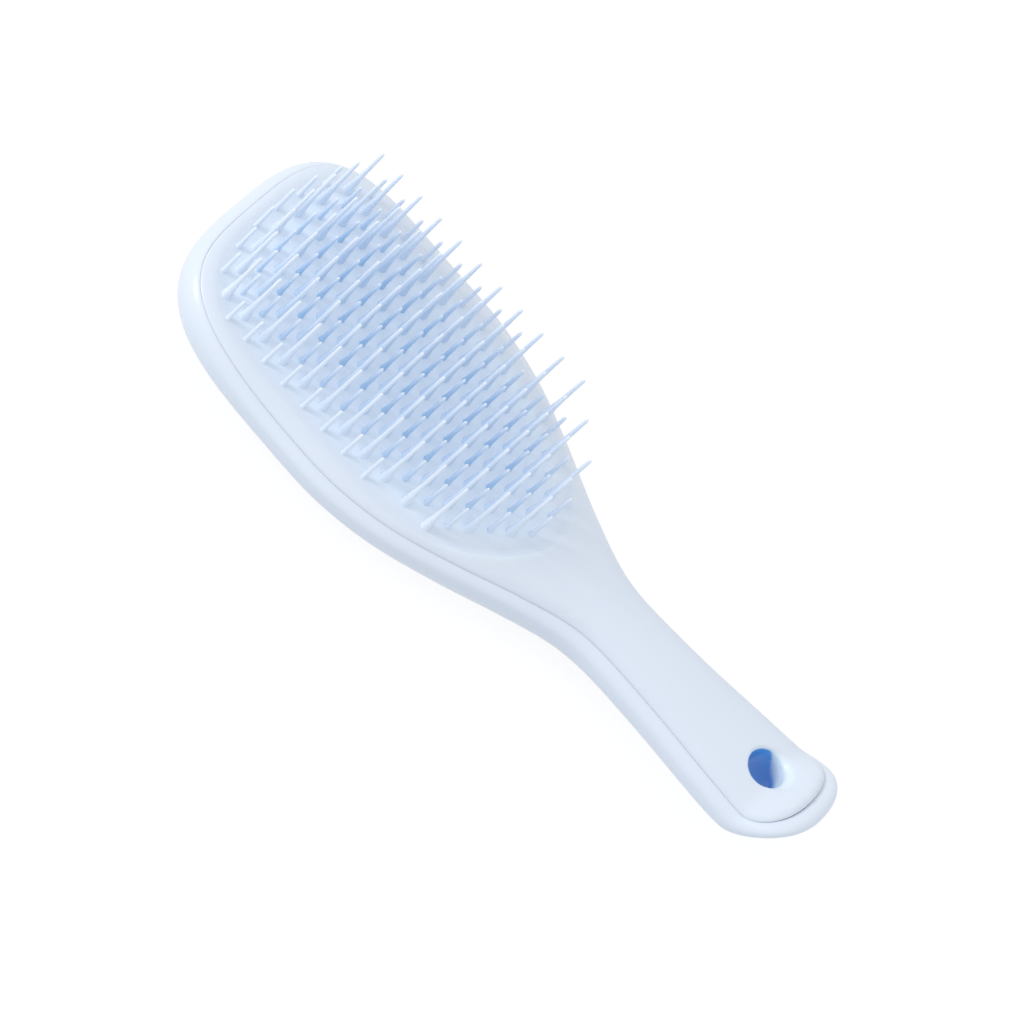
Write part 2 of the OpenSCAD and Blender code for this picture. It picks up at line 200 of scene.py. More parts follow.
def outline(start, end, round_a, round_b, share, inset, power_a, power_b):
    """A closed outline whose half-width is a share of the body's, less an inset."""
    first, last = rounded(power_a, CAP_STEPS), rounded(power_b, CAP_STEPS)[::-1]
    side = np.linspace(start + round_a, end - round_b, SIDE_STEPS + 1)[1:-1]
    x = np.concatenate([start + round_a * first[:, 0], side, end - round_b * last[:, 0]])
    fade = np.concatenate([first[:, 1], np.ones(len(side)), last[:, 1]])
    y = share * fade * np.array([body_half(v) - inset(v) for v in x])
    near = np.stack([x, -y], axis=1)
    far = np.stack([x, y], axis=1)[-2:0:-1]
    return np.concatenate([near, far])


print("a rounded end has", len(rounded(HEAD_POWER, CAP_STEPS)), "points on each side")

# %% [markdown]
# The back is a stack of these outlines. Those of the belly shrink towards the keel, and those
# of the side draw in a little towards the seam. The keel's lowest point stands on the table,
# and this fixes the height of the widest line.


# %% Rings of the back
def belly_outline(level, wall):
    """The belly's outline from the widest line (0) to the keel (1), inside a wall."""
    share = math.cos(BELLY_END * level) ** (2 / BELLY_POWER)
    back = 1 - share
    round_a = HEAD_ROUND * share + BELLY_HEAD_L * back * back
    start = wall + (BELLY_HEAD_L - wall) * back
    end = BRUSH_L - wall - (BELLY_HANDLE_L - wall) * back
    return outline(
        start, end, round_a, HANDLE_ROUND, share, lambda x: wall, HEAD_POWER, HANDLE_POWER,
    )


def belly_down(level):
    """How far down a belly outline lies, as a share of the belly's depth."""
    return math.sin(BELLY_END * level) ** (2 / BELLY_POWER)


keel = belly_outline(1, 0)[:, 0]
WIDEST_Z = max(belly(x) * belly_down(1) - sweep(x) for x in keel)


def datum(x):
    """Height of the widest line of the back."""
    return WIDEST_Z + sweep(x)


def lifted(points, height):
    """An outline raised to a height above the widest line that depends on x."""
    return [(x, y, datum(x) + height(x)) for x, y in points]


def belly_ring(level, wall):
    """The belly's ring at a level."""
    down = belly_down(level)
    return lifted(belly_outline(level, wall), lambda x: -down * (belly(x) - wall))


def side_ring(level, wall, below=0.0):
    """The back's side from its widest line (0) to the seam (1)."""
    turn = RIM_ARC * level
    back = (1 - math.cos(turn)) / (1 - math.cos(RIM_ARC))
    up = math.sin(turn) / math.sin(RIM_ARC)
    points = outline(
        SEAM_HEAD * back + wall, BRUSH_L - SEAM_HANDLE * back - wall,
        HEAD_ROUND - SEAM_HEAD * back, HANDLE_ROUND + (FACE_TAIL - HANDLE_ROUND) * back, 1,
        lambda x: SEAM_SIDE * back + wall,
        HEAD_POWER + (FACE_POWER - HEAD_POWER) * back, HANDLE_POWER,
    )
    return lifted(points, lambda x: seam_h(x) * up - below)


print("widest line", round(WIDEST_Z, 2), "mm above the lowest point;", len(keel), "points round")

# %% [markdown]
# The face is a shallow dome: an ellipse in section that starts upright at the seam and
# flattens to a ridge. Its height is wanted all over, for the teeth stand on it, so it is a
# function of the place and not a mesh that would have to be searched.

# %% Height of the face
FACE_A = HEAD_ROUND
FACE_B = BRUSH_L - SEAM_HANDLE - FACE_TAIL


def edge_h(x):
    """Height of the face's edge above the widest line."""
    return seam_h(x) + SEAM_GAP


def face_share(x, y):
    """0 on the ridge, 1 at the seam."""
    side = abs(y) / (body_half(x) - SEAM_SIDE)
    power = FACE_POWER if x < FACE_A else HANDLE_POWER
    out = max((FACE_A - x) / FACE_ROUND, (x - FACE_B) / FACE_TAIL, 0)
    return (out ** power + side ** power) ** (1 / power)


def face_z(x, y):
    """Height of the dome over a place in plan."""
    share = min(face_share(x, y), 1)
    return datum(x) + edge_h(x) + (crown(x) - edge_h(x)) * math.sqrt(1 - share * share)


def dome_ring(angle, inset):
    """A ring of the dome, from its ridge (0) to its edge (a right angle)."""
    share = math.sin(angle)
    round_a = (FACE_ROUND - inset) * share
    round_b = (FACE_TAIL - inset) * share
    points = outline(
        FACE_A - round_a, FACE_B + round_b, round_a, round_b, share,
        lambda x: SEAM_SIDE + inset, FACE_POWER, HANDLE_POWER,
    )
    rise = math.cos(angle)
    return lifted(points, lambda x: edge_h(x) + rise * (crown(x) - edge_h(x)))


print("face", round(face_z(40, 0), 2), "mm high on the head,", round(face_z(150, 0), 2), "on the handle")

# %% [markdown]
# Meshes are made in the frame of the engineering model: metres, with the middle of the
# brush at zero, so each point moves back by half the length. A stack of rings becomes a
# closed skin when neighbours are joined by quads and both ends are filled with strips.

# %% Helpers that turn points into pieces
CORNER = math.radians(50)
MERGE = 1e-6


def place(points):
    """Points in millimetres from the head's end, moved into the model's frame."""
    return [((x - BRUSH_L / 2) * MM, y * MM, z * MM) for x, y, z in points]


def new_piece(name, points, faces):
    """A smooth mesh with its doubles merged, its faces outwards and its corners sharp."""
    mesh = bpy.data.meshes.new(name)
    mesh.from_pydata(place(points), [], faces)
    mesh.validate()
    build = bmesh.new()
    build.from_mesh(mesh)
    bmesh.ops.remove_doubles(build, verts=build.verts, dist=MERGE)
    bmesh.ops.recalc_face_normals(build, faces=build.faces)
    build.to_mesh(mesh)
    build.free()
    mesh.shade_smooth()
    mesh.set_sharp_from_angle(angle=CORNER)
    piece = bpy.data.objects.new(name, mesh)
    bpy.context.collection.objects.link(piece)
    return piece


def ring_faces(rings):
    """Quads between neighbouring rings, and strips across the first and the last."""
    n = len(rings[0])
    faces = []
    for j in range(len(rings) - 1):
        for i in range(n):
            k = (i + 1) % n
            faces.append((j * n + i, (j + 1) * n + i, (j + 1) * n + k, j * n + k))
    for at in (0, (len(rings) - 1) * n):
        faces.append((at, at + 1, at + n - 1))
        for i in range(1, n // 2 - 1):
            faces.append((at + i, at + i + 1, at + n - i - 1, at + n - i))
        faces.append((at + n // 2 - 1, at + n // 2, at + n // 2 + 1))
    return faces


def report(piece):
    """Prints a piece's faces, its open edges and its volume."""
    edges = bmesh.new()
    edges.from_mesh(piece.data)
    gaps = sum(not e.is_manifold for e in edges.edges)
    print(piece.name, len(piece.data.polygons), "faces,", gaps, "open edges, volume",
          round(edges.calc_volume() / MM ** 3), "mm3")
    edges.free()


print("edges over", round(math.degrees(CORNER)), "degrees stay sharp")

# %% [markdown]
# The back is one hollow moulding. Its rim turns over in a small radius and drops into a
# groove, and the face sits in that groove: this draws the fine dark seam round the brush.
# A Solidify modifier could give the wall, but the rim's fillet needs rings of its own, so
# the skin goes up the outside, over the rim and down the inside in one stack.

# %% Back shell
GROOVE_SIDE, GROOVE_END, GROOVE_DEEP = 0.13, 0.2, 0.4
RIM_FILLET = 0.15
FILLET_TURNS = (35, 70, 100)
FILLET_START, FILLET_IN, FILLET_DOWN = 0.3, 0.6, 0.4
BELLY_RINGS, SIDE_RINGS = 27, 9
belly_levels = np.linspace(1, 0, BELLY_RINGS)
side_levels = np.linspace(0, 1, SIDE_RINGS)[1:]


def rim_rings():
    """The fillet over the rim, and the foot of the groove's wall."""
    rings = []
    for turn in np.radians(FILLET_TURNS):
        inward = RIM_FILLET * (FILLET_START + math.sin(turn) * (1 - FILLET_START))
        down = RIM_FILLET * (1 - math.cos(turn)) * FILLET_DOWN
        rings.append(side_ring(1, inward * FILLET_IN, down))
    rings.append(side_ring(1, RIM_FILLET, GROOVE_DEEP))
    return rings


rings = [belly_ring(level, 0) for level in belly_levels]
rings += [side_ring(level, 0) for level in side_levels]
rings += rim_rings()
rings += [side_ring(level, SHELL_WALL, GROOVE_DEEP * level) for level in side_levels[::-1]]
rings += [belly_ring(level, SHELL_WALL) for level in belly_levels[::-1]]
shell = new_piece("back_shell_skin", [p for ring in rings for p in ring], ring_faces(rings))
report(shell)

# %% [markdown]
# The hanging hole goes through both skins of the back. A Boolean with a drill puts the two
# openings in the right places, but the edges that it leaves are sharp.

# %% Drill for the hanging hole
HOLE_SIDES = 56
LIP = 0.8
DRILL_L, DRILL_Z = 30.0, 10.0


def cut_hole(piece):
    """Cuts an opening as wide as the hole and its lip."""
    bpy.ops.mesh.primitive_cylinder_add(
        vertices=HOLE_SIDES, radius=(HOLE_R + LIP) * MM, depth=DRILL_L * MM,
        location=((HOLE_X - BRUSH_L / 2) * MM, 0, DRILL_Z * MM),
    )
    drill = bpy.context.object
    cut = piece.modifiers.new("hole", "BOOLEAN")
    cut.operation = "DIFFERENCE"
    cut.solver = "EXACT"
    cut.object = drill
    view = bpy.context.evaluated_depsgraph_get()
    mesh = bpy.data.meshes.new_from_object(piece.evaluated_get(view))
    piece.modifiers.remove(cut)
    piece.data = mesh
    bpy.data.objects.remove(drill)


cut_hole(shell)
print("drilled", round(2 * (HOLE_R + LIP), 1), "mm wide")

# %% [markdown]
# A moulded hole has soft edges and a wall of its own. So what the drill left between the
# skins is taken out, and rings are put in: a rounded lip, a bore that is narrow at the back,
# and the sleeve that rises to the face.

# %% Lip, bore and sleeve
BACK_LIP = 0.5
WAIST_R, COLLAR_R = 3.75, 4.25
COLLAR_H, SLEEVE_GAP = 1.6, 0.05
COLLAR_Z = face_z(HOLE_X, 0) - PANEL_WALL - COLLAR_H
SLEEVE_TOP = COLLAR_Z - SLEEVE_GAP
LIP_RINGS, SLEEVE_RINGS = 7, 10
# The drill's flat sides lie inside its circle by half of this share of its radius
FACET_SAG = 2 * (1 - math.cos(math.pi / HOLE_SIDES))
UPRIGHT = 0.3


def ordered_loops(edges):
    """Border edges sorted into rings of vertices.

    The edges wait in a list and not in a set, which has no order of its own, so that each run
    of the script starts its rings at the same place.
    """
    left = list(edges)
    loops = []
    while left:
        edge = left.pop()
        loop = [edge.verts[0], edge.verts[1]]
        while True:
            step = [e for e in loop[-1].link_edges if e in left]
            if not step:
                break
            left.remove(step[0])
            loop.append(step[0].other_vert(loop[-1]))
        loops.append(loop[:-1] if loop[0] is loop[-1] else loop)
    return loops


def next_ring(build, ring, guide, middle, radius, height):
    """A new ring at a radius, joined to the last one; the guide gives its directions."""
    made = []
    for v in guide:
        way = (v.co.xy - middle.xy).normalized()
        spot = (middle.x + way.x * radius, middle.y + way.y * radius, height(v.co.z))
        made.append(build.verts.new(spot))
    for k in range(len(ring)):
        n = (k + 1) % len(ring)
        build.faces.new((ring[k], ring[n], made[n], made[k]))
    return made


def round_hole(piece):
    """Takes the drilled wall out and puts in the lip, the bore and the sleeve."""
    build = bmesh.new()
    build.from_mesh(piece.data)
    middle = Vector(((HOLE_X - BRUSH_L / 2) * MM, 0, 0))
    edge_r = (HOLE_R + LIP) * MM

    def on_wall(v):
        return abs((v.co.xy - middle.xy).length - edge_r) < edge_r * FACET_SAG

    walls = [f for f in build.faces if all(on_wall(v) for v in f.verts) and abs(f.normal.z) < UPRIGHT]
    bmesh.ops.delete(build, geom=walls, context="FACES_ONLY")
    bmesh.ops.delete(build, geom=[e for e in build.edges if e.is_wire], context="EDGES")
    loops = ordered_loops([e for e in build.edges if e.is_boundary])
    print("hole loops", [len(loop) for loop in loops])
    loops.sort(key=lambda loop: sum(v.co.z for v in loop) / len(loop))
    outer, inner = loops[0], loops[-1]
    ring = outer
    for turn in np.linspace(0, math.pi / 2, LIP_RINGS)[1:]:
        radius = edge_r - (edge_r - WAIST_R * MM) * math.sin(turn)
        up = BACK_LIP * MM * (1 - math.cos(turn))
        ring = next_ring(build, ring, outer, middle, radius, lambda z: z + up)
    for share in np.linspace(1 / SLEEVE_RINGS, 1, SLEEVE_RINGS):
        radius = (WAIST_R + (COLLAR_R - WAIST_R) * share) * MM
        ring = next_ring(
            build, ring, outer, middle, radius,
            lambda z: z + BACK_LIP * MM + (SLEEVE_TOP * MM - z - BACK_LIP * MM) * share,
        )
    ring = next_ring(build, ring, outer, middle, edge_r, lambda z: SLEEVE_TOP * MM)
    pairs = [pair for loop in (ring, inner) for pair in zip(loop, loop[1:] + loop[:1])]
    bmesh.ops.bridge_loops(build, edges=[build.edges.get(pair) for pair in pairs])
    bmesh.ops.recalc_face_normals(build, faces=build.faces)
    build.to_mesh(piece.data)
    build.free()
    piece.data.shade_smooth()
    piece.data.set_sharp_from_angle(angle=CORNER)


round_hole(shell)
report(shell)

# %% [markdown]
# Seen down the hole, the plastic turns from pale to a strong blue, because the wall there lies
# in shade and its light has bounced round and crossed more plastic. True scattering would be
# slow and grainy in so thin a wall, so this is painted shade: each point carries a mark from 0
# to 1, and the finish reads it. The lip is broader towards the handle's tip, where the face
# curls up, and on that side a painted light keeps it pale further down, where the lamp lights it.

# %% Lip of the hole, with painted light on it and painted shade inside it
LIP_TIP_WIDE, LIP_TIP_DEEP, LIP_TURN = 4.0, 2.3, math.radians(30)
# Painted shade in the hole starts this far below the face and deepens over SHADE_OVER
SHADE_FROM, SHADE_FROM_TIP = 0.2, 4.6
SHADE_OVER, SHADE_OVER_TIP = 1.0, 2.2
# The painted light on the lip fades in over PALE_OVER and takes PALE_SHARE of the mark
PALE_OVER, PALE_SHARE = 1.2, 0.4


def towards_tip(turn):
    """1 on the side of the hole that faces the handle's tip, 0 on the other."""
    return smooth(math.cos(turn - LIP_TURN))


def lip_size(turn):
    """Width and depth of the hole's lip, which is broader towards the handle's tip."""
    tip = towards_tip(turn)
    return LIP + (LIP_TIP_WIDE - LIP) * tip, LIP + (LIP_TIP_DEEP - LIP) * tip


def down_hole(x, y, z):
    """Painted shade, 1 on the hole's wall, with painted light on its broad lip, and 0 away."""
    out = math.hypot(x - HOLE_X, y) - HOLE_R
    turn = math.atan2(y, x - HOLE_X)
    tip = towards_tip(turn)
    start = SHADE_FROM + (SHADE_FROM_TIP - SHADE_FROM) * tip
    over = SHADE_OVER + (SHADE_OVER_TIP - SHADE_OVER) * tip
    down = face_z(x, y) - z
    pale = smooth(1 - out / lip_size(turn)[0]) * smooth(down / PALE_OVER)
    deep = smooth(1 - out / LIP) * smooth((down - start) / over)
    return PALE_SHARE * pale + (1 - PALE_SHARE) * deep


def mark_painted_light_and_shade(piece, rule):
    """Marks each point with painted shade or painted light, from 0 to 1, for the finish."""
    marks = piece.data.attributes.new("deep", "FLOAT", "POINT")
    spots = [(v.co.x / MM + BRUSH_L / 2, v.co.y / MM, v.co.z / MM) for v in piece.data.vertices]
    values = [rule(*spot) for spot in spots]
    marks.data.foreach_set("value", values)
    print(piece.name, "is marked from", round(min(values), 2), "to", round(max(values), 2))


# The back: painted shade down the hanging hole, painted light on its lip
mark_painted_light_and_shade(shell, down_hole)
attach(shell, "root")
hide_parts("back_shell")

# %% [markdown]
# The tooth field is a window in the face: broad and rounded at the head's end, pointed on the
# neck. Its outline is worked out once, with the direction out of it at every point, and both
# the face and the plate of teeth are drawn from it, so the two always meet.

# %% Outline of the tooth field
FIELD_BORDER, FIELD_START, FIELD_END = 5.8, 4.6, 94.4
FIELD_ROUND, FIELD_NECK = 25.4, 36.4
FIELD_DEPTH = 0.8
FIELD_POWER, NECK_POWER = 3.0, 1.8
FIELD_HALF = HEAD_HALF - FIELD_BORDER
FIELD_A, FIELD_B = FIELD_START + FIELD_ROUND, FIELD_END - FIELD_NECK
FIELD_CAP_STEPS, FIELD_SIDE_STEPS = 30, 26


def field_outline():
    """The window's outline, as (x, y) rows."""
    first = rounded(FIELD_POWER, FIELD_CAP_STEPS)
    last = rounded(NECK_POWER, FIELD_CAP_STEPS)[::-1]
    side = np.linspace(FIELD_A, FIELD_B, FIELD_SIDE_STEPS + 1)[1:-1]
    x = np.concatenate([
        FIELD_START + FIELD_ROUND * first[:, 0], side, FIELD_END - FIELD_NECK * last[:, 0],
    ])
    y = FIELD_HALF * np.concatenate([first[:, 1], np.ones(len(side)), last[:, 1]])
    return np.concatenate([np.stack([x, -y], axis=1), np.stack([x, y], axis=1)[-2:0:-1]])


FIELD = field_outline()
run = np.roll(FIELD, -1, axis=0) - np.roll(FIELD, 1, axis=0)
FIELD_OUT = np.stack([run[:, 1], -run[:, 0]], axis=1) / np.hypot(*run.T)[:, None]
print("field", np.round(FIELD.min(axis=0), 1), np.round(FIELD.max(axis=0), 1))

# %% [markdown]
# The face doesn't stop at the window with a step: it slopes softly down to the field, more
# gently at the head than on the neck. The slope starts a little outside the window's edge,
# so the joint between the two mouldings lies hidden in it.

# %% Slope of the face into the window
SLOPE_OUT = 1.0
SLOPE_HEAD, SLOPE_NECK = 4.5, 2.2
SLOPE_FROM, SLOPE_OVER = 55, 30


def slope_in(x):
    """Width of the slope inside the window's edge."""
    return SLOPE_HEAD + (SLOPE_NECK - SLOPE_HEAD) * smooth((x - SLOPE_FROM) / SLOPE_OVER)


def dip(x, inward):
    """How far the surface lies under the dome, at a distance inside the window's edge."""
    return FIELD_DEPTH * smooth((inward + SLOPE_OUT) / (SLOPE_OUT + slope_in(x)))


def field_inward(x, y):
    """Distance from the window's edge."""
    a, b = FIELD, np.roll(FIELD, -1, axis=0)
    way = b - a
    t = np.clip(((np.array([x, y]) - a) * way).sum(axis=1) / (way ** 2).sum(axis=1), 0, 1)
    return np.hypot(*(a + way * t[:, None] - (x, y)).T).min()


def field_loop(inward):
    """A loop inside the window (positive) or outside it, by a length or a rule of x."""
    loop = []
    for (x, y), (ox, oy) in zip(FIELD, FIELD_OUT):
        step = inward(x) if callable(inward) else inward
        px, py = x - ox * step, y - oy * step
        loop.append((px, py, face_z(px, py) - dip(x, step)))
    return loop


print(f"slope {slope_in(FIELD_START):.1f} mm wide at the head, {slope_in(FIELD_END):.1f} on the neck")

# %% [markdown]
# A face with a window and a hole could be cut out of a dome by Booleans, which leaves long
# slivers along every edge. Here the plan is filled with small even triangles between fixed
# loops, by a Delaunay triangulation, and each point carries its height, so every highlight
# runs across unbroken.

# %% Filling a plan between loops
SLIVER = 1e-5
PLAN_TOLERANCE = 1e-7


def filled(loops, grid, inside, clear):
    """A triangle mesh over fixed loops and grid points: (points, triangles)."""
    points = [p for loop in loops for p in loop]
    edges, at = [], 0
    for loop in loops:
        n = len(loop)
        edges += [(at + i, at + (i + 1) % n) for i in range(n)]
        at += n
    tree = kdtree.KDTree(len(points))
    for i, p in enumerate(points):
        tree.insert((p[0], p[1], 0), i)
    tree.balance()
    for p in grid:
        if tree.find((p[0], p[1], 0))[2] > clear:
            points.append(p)
    flat = [Vector((p[0], p[1])) for p in points]
    made = geometry.delaunay_2d_cdt(flat, edges, [], 0, PLAN_TOLERANCE)
    source = []
    for spot, ids in zip(made[0], made[3]):
        if not ids:
            ids = [len(points)]
            points.append((spot.x, spot.y, face_z(spot.x, spot.y)))
            print("crossing at", round(spot.x, 1), round(spot.y, 1))
        source.append(ids[0])
    faces = []
    for tri in made[2]:
        x = sum(made[0][i].x for i in tri) / 3
        y = sum(made[0][i].y for i in tri) / 3
        a, b, c = (made[0][i] for i in tri)
        if inside(x, y) and abs((b - a).cross(c - a)) > SLIVER:
            faces.append(tuple(source[i] for i in tri))
    print("plan of", len(points), "points and", len(faces), "triangles")
    return points, faces


def in_loop(loop):
    """A test for a place in plan: it is inside if a line to its right crosses the loop oddly."""
    pts = np.array([(p[0], p[1]) for p in loop])
    nxt = np.roll(pts, -1, axis=0)

    def test(x, y):
        cross = (pts[:, 1] > y) != (nxt[:, 1] > y)
        with np.errstate(divide="ignore", invalid="ignore"):
            at = pts[:, 0] + (y - pts[:, 1]) / (nxt[:, 1] - pts[:, 1]) * (nxt[:, 0] - pts[:, 0])
        return bool(np.count_nonzero(cross & (x < at)) % 2)

    return test


def grid_points(step, height, keep):
    """A triangular grid over the whole brush, raised to a height."""
    rows = np.arange(-HEAD_HALF, HEAD_HALF, step * math.sqrt(3) / 2)
    spots = []
    for j, y in enumerate(rows):
        for x in np.arange(step / 2 * (j % 2), BRUSH_L, step):
            if keep(x, y):
                spots.append((x, y, height(x, y)))
    return spots


# %% [markdown]
# The face is bounded by three sets of loops: its edge in the groove, the slope into the
# window, and the lip of the hanging hole. The groove is wider at the handle's end, where the
# seam shows darkest.

# %% Loops of the face
DOME_ANGLES = (90, 86.5, 83, 79)
SLOPE_RINGS, LIP_LOOPS = 4, 9
TAIL_START = 2


def panel_edge(angle):
    """A ring of the dome, drawn in by the groove, which is wider at the handle's end."""
    ring = []
    for x, y, z in dome_ring(angle, GROOVE_SIDE):
        end = smooth((x - FACE_B - TAIL_START) / (FACE_TAIL - TAIL_START))
        ring.append((x - (GROOVE_END - GROOVE_SIDE) * end, y, z))
    return ring


def lip_loop(turn):
    """A loop of the hole's lip, from the face (0) down to the bore (a right angle)."""
    loop = []
    for t in np.arange(HOLE_SIDES) * 2 * math.pi / HOLE_SIDES:
        wide, deep = lip_size(t)
        radius = HOLE_R + wide * (1 - math.sin(turn))
        x, y = HOLE_X + radius * math.cos(t), radius * math.sin(t)
        loop.append((x, y, face_z(x, y) - deep * (1 - math.cos(turn))))
    return loop


dome_loops = [panel_edge(math.radians(a)) for a in DOME_ANGLES]
slope_loops = [field_loop(-SLOPE_OUT * k / SLOPE_RINGS) for k in range(SLOPE_RINGS, -1, -1)]
lip_loops = [lip_loop(turn) for turn in np.linspace(0, math.pi / 2, LIP_LOOPS)]
in_seam, in_inner = in_loop(dome_loops[0]), in_loop(dome_loops[-1])
in_slope, in_window = in_loop(slope_loops[0]), in_loop(slope_loops[-1])
in_lip, in_hole = in_loop(lip_loops[0]), in_loop(lip_loops[-1])
print("loops of the face", [len(group) for group in (dome_loops, slope_loops, lip_loops)])

# %% [markdown]
# A moulding has a wall. The same triangles are laid again below the top, turned over, and
# walls join the two at the borders. The hole's wall has several steps, because the shade
# inside it changes from ring to ring.

# %% Giving a filled plan its wall
PANEL_GRID, GRID_CLEAR = 1.1, 0.5
HOLE_WALL_STEPS = 8
EDGE_WALL, LEAST_WALL = 0.6, 0.3
TOUCH = 1e-6


def thick(top, top_faces, walls, under):
    """A closed solid: the top, the same mesh lowered, and walls as (start, count, steps)."""
    n = len(top)
    points = list(top) + [under(p) for p in top]
    faces = list(top_faces) + [tuple(n + i for i in reversed(f)) for f in top_faces]
    for start, count, steps in walls:
        levels = [range(start, start + count)]
        for k in range(1, steps):
            levels.append(range(len(points), len(points) + count))
            points += [Vector(points[i]).lerp(Vector(points[n + i]), k / steps)[:] for i in levels[0]]
        levels.append(range(n + start, n + start + count))
        for upper, lower in zip(levels, levels[1:]):
            for i in range(count):
                j = (i + 1) % count
                faces.append((upper[i], upper[j], lower[j], lower[i]))
    return points, faces


def spans(loops):
    """The first point and the number of points of each loop."""
    starts, at = [], 0
    for loop in loops:
        starts.append((at, len(loop)))
        at += len(loop)
    return starts


def under_panel(p):
    """The place on the face's underside that belongs to a point of its top."""
    x, y, z = p
    if math.hypot(x - HOLE_X, y) < HOLE_R + TOUCH:
        draw = COLLAR_R / HOLE_R
        return (HOLE_X + (x - HOLE_X) * draw, y * draw, COLLAR_Z)
    below = max(datum(x) + seam_h(x) - EDGE_WALL, face_z(x, y) - PANEL_WALL)
    return (x, y, min(below, z - LEAST_WALL))


free = grid_points(
    PANEL_GRID, face_z, lambda x, y: in_inner(x, y) and not in_slope(x, y) and not in_lip(x, y),
)
top, top_faces = filled(
    dome_loops + slope_loops + lip_loops, free,
    lambda x, y: in_seam(x, y) and not in_window(x, y) and not in_hole(x, y), GRID_CLEAR,
)
rows = spans(dome_loops + slope_loops + lip_loops)
window_row = rows[len(dome_loops) + len(slope_loops) - 1]
panel_walls = [(*rows[0], 1), (*window_row, 1), (*rows[-1], HOLE_WALL_STEPS)]
points, faces = thick(top, top_faces, panel_walls, under_panel)
panel = new_piece("front_panel_skin", points, faces)
report(panel)

# %% [markdown]
# On the neck and on the near side, a painted light band runs along the window's rim, a touch
# paler than the face. The same marks carry this: a small share at the window's edge that fades both ways.

# %% Painted light on the rim of the window
RIM_PAINTED_LIGHT, RIM_PALE_OUT, RIM_PALE_IN = 0.22, 1.5, 3.0
RIM_PALE_X, RIM_PALE_Y = (74, 90), (8, -12)


def painted_rim_light(x, y):
    """Painted light on the rim of the window, at its neck end and on the near side."""
    off = field_inward(x, y)
    if not in_window(x, y):
        off = -off
    near = smooth(1 + off / RIM_PALE_OUT) if off < 0 else smooth(1 - off / RIM_PALE_IN)
    neck = smooth((x - RIM_PALE_X[0]) / (RIM_PALE_X[1] - RIM_PALE_X[0]))
    side = smooth((y - RIM_PALE_Y[0]) / (RIM_PALE_Y[1] - RIM_PALE_Y[0]))
    return RIM_PAINTED_LIGHT * near * neck * side


# The face: painted shade and light round the hanging hole, painted light on the window's rim
mark_painted_light_and_shade(panel, lambda x, y, z: down_hole(x, y, z) if x > FIELD_END + FIELD_BORDER else painted_rim_light(x, y))
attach(panel, "root")
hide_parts("front_panel")

# %% [markdown]
# The plate of teeth is dropped in from behind, and only its field shows. It takes over the
# slope at the window's edge, with a joint finer than a hair, and then follows the dome.
# Its middle is marked deep, where the teeth stand close, and gets a painted light: paler and bluer.

# %% Tooth field: the plate's visible skin
JOINT = 0.004
# Painted light on the field grows over this distance inside the window's edge
PAD_PAINTED_LIGHT_IN = 11.0
PAD_SLOPE_SHARES = (0.2, 0.4, 0.6, 0.8, 1)
PAD_GRID, PAD_UNDER = 1.4, 2.4
plate_loops = [field_loop(JOINT)]
plate_loops += [field_loop(lambda x, k=k: slope_in(x) * k) for k in PAD_SLOPE_SHARES]
in_plate, in_pad = in_loop(plate_loops[0]), in_loop(plate_loops[-1])
free = grid_points(PAD_GRID, lambda x, y: face_z(x, y) - FIELD_DEPTH, in_pad)
pad_top, pad_faces = filled(plate_loops, free, in_plate, GRID_CLEAR)
points, faces = thick(
    pad_top, pad_faces, [(*spans(plate_loops)[0], 1)],
    lambda p: (p[0], p[1], face_z(p[0], p[1]) - PAD_UNDER),
)
plate = new_piece("tooth_field", points, faces)
# The field: painted light towards its middle, and painted light on the window's rim
mark_painted_light_and_shade(plate, lambda x, y, z: max(smooth(field_inward(x, y) / PAD_PAINTED_LIGHT_IN), painted_rim_light(x, y)))
report(plate)
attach(plate, "root")
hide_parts("tooth_plate")

# %% [markdown]
# The teeth stand in columns across the brush, short and long in turn, and each column is set
# off by half a pitch from the next. The first columns are bowed, to follow the rounded end
# of the head. All tips of one kind lie on one surface, which is lower at the sides.

# %% Places of the teeth
SHORT_COUNTS = (6, 8, 8, 8, 8, 8, 8, 8, 8, 6, 6, 6, 4, 2)
LONG_COUNTS = (7, 7, 7, 7, 7, 7, 7, 7, 7, 7, 7, 5, 3)
SIDE_GAP, FIRST_GAP, LAST_GAP = 2.4, 1.5, 4.6
BOW, BOW_FADE = 5.4, 24.0
LONG_H, SHORT_H, TIP_DROP = 17.7, 9.0, 1.7
OUTER_Y = FIELD_HALF - SIDE_GAP
ROW_PITCH = 2 * OUTER_Y / (max(SHORT_COUNTS) - 1)
COLUMN_PITCH = (FIELD_END - FIELD_START - FIRST_GAP - LAST_GAP) / (len(SHORT_COUNTS) - 1)
FIRST_X = FIELD_START + FIRST_GAP
ROOT = 0.4
# Painted shade on a tooth grows over this distance inside the window's edge
SHADE_IN = 16.0


def tooth_places(counts, shift, high):
    """(x, y, z of the root, length, share of painted shade) of every tooth of one kind."""
    rows = []
    for i, count in enumerate(counts):
        for j in range(count):
            y = (j - (count - 1) / 2) * ROW_PITCH
            x = FIRST_X + (i + shift) * COLUMN_PITCH
            x += BOW * math.exp((FIRST_X - x) / BOW_FADE) * (y / OUTER_Y) ** 2
            deep_in = field_inward(x, y)
            low = face_z(x, y) - dip(x, deep_in) - ROOT
            tip = face_z(x, 0) - FIELD_DEPTH + high - TIP_DROP * (y / OUTER_Y) ** 2
            rows.append((x, y, low, tip - low, smooth(deep_in / SHADE_IN)))
    return rows


long_teeth = tooth_places(LONG_COUNTS, 0.5, LONG_H)
short_teeth = tooth_places(SHORT_COUNTS, 0, SHORT_H)
print(len(long_teeth), "long teeth,", len(short_teeth), "short teeth,", round(ROW_PITCH, 2), "mm apart")

